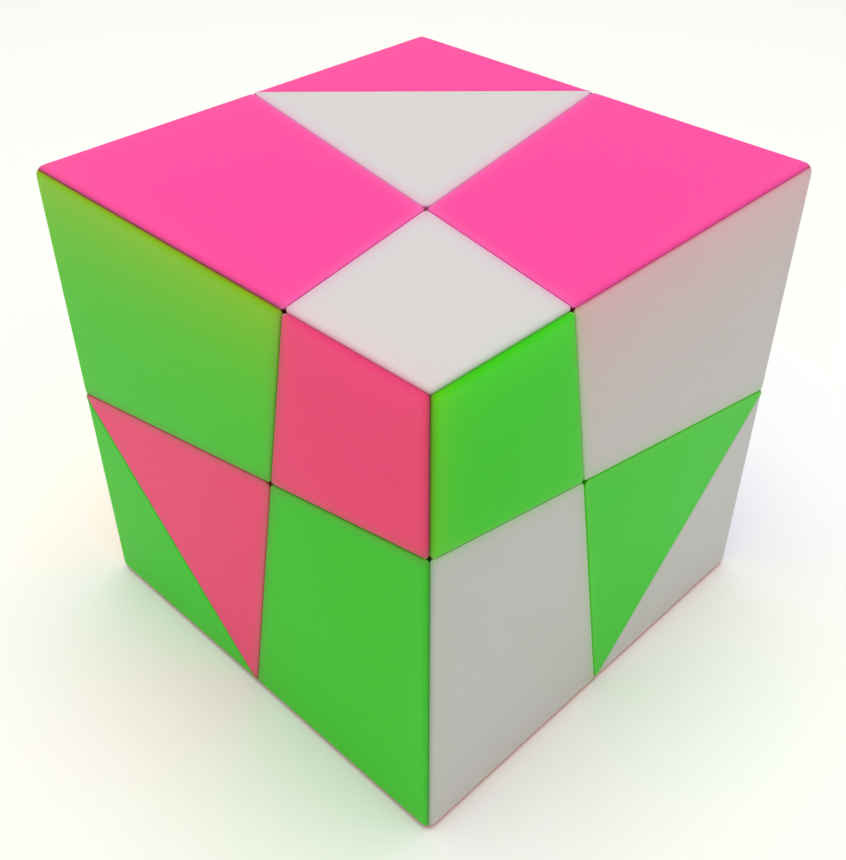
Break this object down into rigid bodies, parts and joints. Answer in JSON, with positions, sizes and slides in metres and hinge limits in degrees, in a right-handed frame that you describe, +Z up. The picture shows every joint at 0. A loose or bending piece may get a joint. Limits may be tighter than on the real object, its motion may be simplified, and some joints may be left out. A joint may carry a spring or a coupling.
{
  "type": "corner-turning puzzle cube",
  "caption": "Cube-shaped twist puzzle whose halves turn about tilted axes through its centre, cut into corner blocks and face triangles with moulded coloured caps.",
  "frame": {"origin": "centre of the bottom face, which the cube stands on", "axes": "+Z up, +X to the right, -Y to the front; the near corner, on the axis of the modelled turn, is the one at +X -Y +Z"},
  "size_m": [0.06, 0.06, 0.06],
  "materials": {
    "white_cap": "smooth satin moulded ABS, white",
    "pink_cap": "smooth satin moulded ABS, bright pink",
    "green_cap": "smooth satin moulded ABS, bright green",
    "yellow_cap": "smooth satin moulded ABS, yellow",
    "blue_cap": "smooth satin moulded ABS, blue",
    "orange_cap": "smooth satin moulded ABS, orange",
    "frame": "plain moulded nylon-like frame",
    "core": "plain moulded core",
    "steel": "zinc-plated steel"
  },
  "bodies": {
    "far_half": {"far_corner_left_cap": "yellow_cap", "far_corner_back_cap": "blue_cap", "far_corner_bottom_cap": "orange_cap", "upper_left_back_top_cap": "pink_cap", "upper_left_back_left_cap": "yellow_cap", "upper_left_back_back_cap": "blue_cap", "lower_left_front_front_cap": "green_cap", "lower_left_front_left_cap": "yellow_cap", "lower_left_front_bottom_cap": "orange_cap", "lower_right_back_right_cap": "white_cap", "lower_right_back_back_cap": "blue_cap", "lower_right_back_bottom_cap": "orange_cap", "left_triangle_left_cap": "yellow_cap", "back_triangle_back_cap": "blue_cap", "bottom_triangle_bottom_cap": "orange_cap", "far_corner_frame": "frame", "upper_left_back_frame": "frame", "lower_left_front_frame": "frame", "lower_right_back_frame": "frame", "left_triangle_frame": "frame", "back_triangle_frame": "frame", "bottom_triangle_frame": "frame", "core": "core", "near_screw": "steel", "left_screw": "steel", "back_screw": "steel", "bottom_screw": "steel", "near_washer": "steel", "left_washer": "steel", "back_washer": "steel", "bottom_washer": "steel", "near_spring": "steel", "left_spring": "steel", "back_spring": "steel", "bottom_spring": "steel"},
    "near_half": {"near_corner_top_cap": "white_cap", "near_corner_front_cap": "pink_cap", "near_corner_right_cap": "green_cap", "upper_left_front_top_cap": "pink_cap", "upper_left_front_front_cap": "green_cap", "upper_left_front_left_cap": "yellow_cap", "upper_right_back_top_cap": "pink_cap", "upper_right_back_right_cap": "white_cap", "upper_right_back_back_cap": "blue_cap", "lower_right_front_front_cap": "green_cap", "lower_right_front_right_cap": "white_cap", "lower_right_front_bottom_cap": "orange_cap", "top_triangle_top_cap": "white_cap", "front_triangle_front_cap": "pink_cap", "right_triangle_right_cap": "green_cap", "near_corner_frame": "frame", "upper_left_front_frame": "frame", "upper_right_back_frame": "frame", "lower_right_front_frame": "frame", "top_triangle_frame": "frame", "front_triangle_frame": "frame", "right_triangle_frame": "frame"}
  },
  "joints": [
    {"name": "near_half_turn", "type": "hinge", "parent": "far_half", "child": "near_half", "pos_m": [0, 0, 0.03], "axis": [0.5774, -0.5774, 0.5774], "continuous": true}
  ]
}
